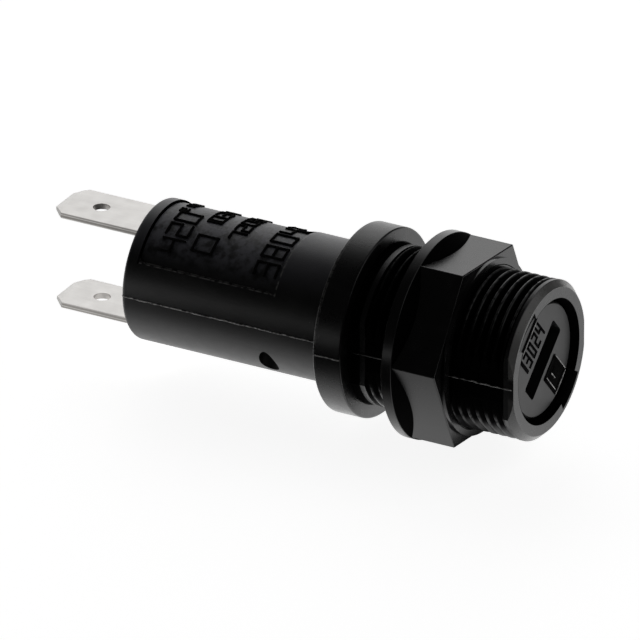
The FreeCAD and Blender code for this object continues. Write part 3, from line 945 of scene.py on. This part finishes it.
class HOLDER_OT_stage(bpy.types.Operator):
    """Set up the floor, the white backdrop, the lamps, the sky and the camera"""

    bl_idname = "holder.stage"
    bl_label = "Stage"

    def execute(self, context):
        self.floor()
        self.backdrop()
        self.lamps(context)
        self.sky(context)
        self.camera(context)
        context.scene.view_settings.view_transform = "Standard"
        return {"FINISHED"}

    def plane(self, name, location, rotation):
        """Large flat sheet that belongs to the stage."""
        clear_selection()
        bpy.ops.mesh.primitive_plane_add(size=STAGE_SIZE, location=location, rotation=rotation)
        plane = bpy.context.object
        plane.name = name
        bpy.ops.object.transform_apply(location=True, rotation=True, scale=True)
        plane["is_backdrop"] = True
        return plane

    def floor(self):
        """White for the camera with a faint shadow, and bright towards the right for reflections."""
        floor = self.plane("floor", (0, 0, FLOOR_HEIGHT), (0, 0, 0))
        matt = {"Base Color": (0.6, 0.6, 0.6, 1), "Roughness": 0.9, "Specular IOR Level": 0.0}
        finish = Finish("Floor white", matt)
        x, y, _ = finish.axes()
        # Places to the left and right of the holder, in millimetres, between which the light fades
        left_fade, right_fade = (-17.5, -4.5), (0.0, 8.0)
        fade = x.rising(*left_fade) ** 1.3 * (1 - 0.2 * x.rising(*right_fade))
        # Painted shadow under the nut and painted light beyond the tabs, seen only in reflections
        painted_nut_shadow = x.within(-4.7, 5.0, 0.5) * y.within(-12.0, -3.5, 0.7)
        beyond_tabs = 0.8 * y.above(31.5, 2.5) * x.below(-13.0, 5.0)
        mirrored = finish.glow(DARKEST + FLOOR_MIRRORED * fade * (1 - painted_nut_shadow) + beyond_tabs)
        layers = {0: finish.glow(FLOOR_SEEN), 1: finish.surface.outputs[0]}
        shadowed = finish.node("ShaderNodeAddShader", values=layers).outputs[0]
        finish.show(finish.blend(finish.camera_ray(), mirrored, shadowed))
        floor.data.materials.append(finish.material)

    def backdrop(self):
        """Tall card behind the holder, seen by reflections only, and fading upwards and sideways."""
        place = CARD_DIRECTION * CARD_DISTANCE + Vector((0, 0, CARD_HEIGHT))
        facing = (-CARD_DIRECTION).to_track_quat("Z", "Y").to_euler()
        card = self.plane("backdrop", place, facing)
        finish = Finish("Backdrop white")
        x, y, z = finish.axes()
        # Places beside the card's middle line and above the floor, in millimetres, for each fade
        beside = y * CARD_DIRECTION.x - x * CARD_DIRECTION.y
        left_fade, right_fade = (-380.0, -140.0), (200.0, 420.0)
        low_fade, high_fade, shade_fade = (120.0, 1720.0), (1700.0, 3800.0), (450.0, 900.0)
        shade = beside.rising(*right_fade) * (1 - z.rising(*shade_fade))
        height = CARD_MIRRORED * (1 - z.rising(*low_fade)) + 0.13 * (1 - z.rising(*high_fade))
        finish.show(finish.glow(DARKEST + height * (1 - shade) * beside.rising(*left_fade)))
        card.data.materials.append(finish.material)
        card.visible_camera = False

    def lamps(self, context):
        """Soft square lamps above the back and above the front, turned to the holder."""
        for name, place, size, power in LAMPS:
            light = bpy.data.lights.new(name, "AREA")
            light.shape = "SQUARE"
            light.size = size
            light.energy = power
            lamp = bpy.data.objects.new(name, light)
            lamp.location = place
            lamp.rotation_euler = (-Vector(place)).to_track_quat("-Z", "Y").to_euler()
            lamp.visible_camera = False
            context.collection.objects.link(lamp)

    def sky(self, context):
        """White for the camera, and dim for everything else."""
        world = bpy.data.worlds.new("Studio")
        context.scene.world = world
        sky = Nodes(world, "World Output")
        dim = sky.glow(SKY_LIGHT, "ShaderNodeBackground")
        white = sky.glow(SKY_SEEN, "ShaderNodeBackground")
        sky.show(sky.blend(sky.camera_ray(), dim, white))

    def camera(self, context):
        """Long lens at the photograph's angle."""
        data = bpy.data.cameras.new("photo_camera")
        data.lens = LENS
        data.sensor_width = SENSOR
        camera = bpy.data.objects.new("photo_camera", data)
        context.collection.objects.link(camera)
        back = Vector((
            math.sin(VIEW_AZIMUTH) * math.cos(VIEW_ELEVATION),
            -math.cos(VIEW_AZIMUTH) * math.cos(VIEW_ELEVATION),
            math.sin(VIEW_ELEVATION),
        ))
        camera.location = VIEW_TARGET + back * (VIEW_WIDTH * LENS / SENSOR)
        camera.rotation_euler = (-back).to_track_quat("-Z", "Y").to_euler()
        context.scene.camera = camera


class HOLDER_PT_panel(bpy.types.Panel):
    """Lists the holder's sizes, colours and steps"""

    bl_idname = "HOLDER_PT_panel"
    bl_label = "Fuse Holder"
    bl_space_type = "VIEW_3D"
    bl_region_type = "UI"
    bl_category = "Fuse Holder"

    def draw(self, context):
        layout = self.layout
        for group in (context.scene.holder_sizes, context.scene.holder_colours):
            box = layout.box()
            for name in group.__annotations__:
                box.prop(group, name)
        for operator in STEPS:
            layout.operator(operator.bl_idname)


STEPS = (
    HOLDER_OT_plastics,
    HOLDER_OT_metals,
    HOLDER_OT_barrel_thread,
    HOLDER_OT_nut_thread,
    HOLDER_OT_parting_line,
    HOLDER_OT_tube_marks,
    HOLDER_OT_cap_marks,
    HOLDER_OT_spring,
    HOLDER_OT_stage,
)
CLASSES = (HolderSizes, HolderColours, *STEPS, HOLDER_PT_panel)


def register():
    for item in CLASSES:
        bpy.utils.register_class(item)
    bpy.types.Scene.holder_sizes = PointerProperty(type=HolderSizes)
    bpy.types.Scene.holder_colours = PointerProperty(type=HolderColours)


def unregister():
    del bpy.types.Scene.holder_sizes
    del bpy.types.Scene.holder_colours
    for item in reversed(CLASSES):
        bpy.utils.unregister_class(item)


def main():
    register()
    for step in STEPS:
        group, name = step.bl_idname.split(".")
        getattr(getattr(bpy.ops, group), name)()
    boxes = {"cad": CAD_BOX, "shown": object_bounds()}
    plain = {name: [list(corner) for corner in box] for name, box in boxes.items()}


if __name__ == "__main__":
    main()
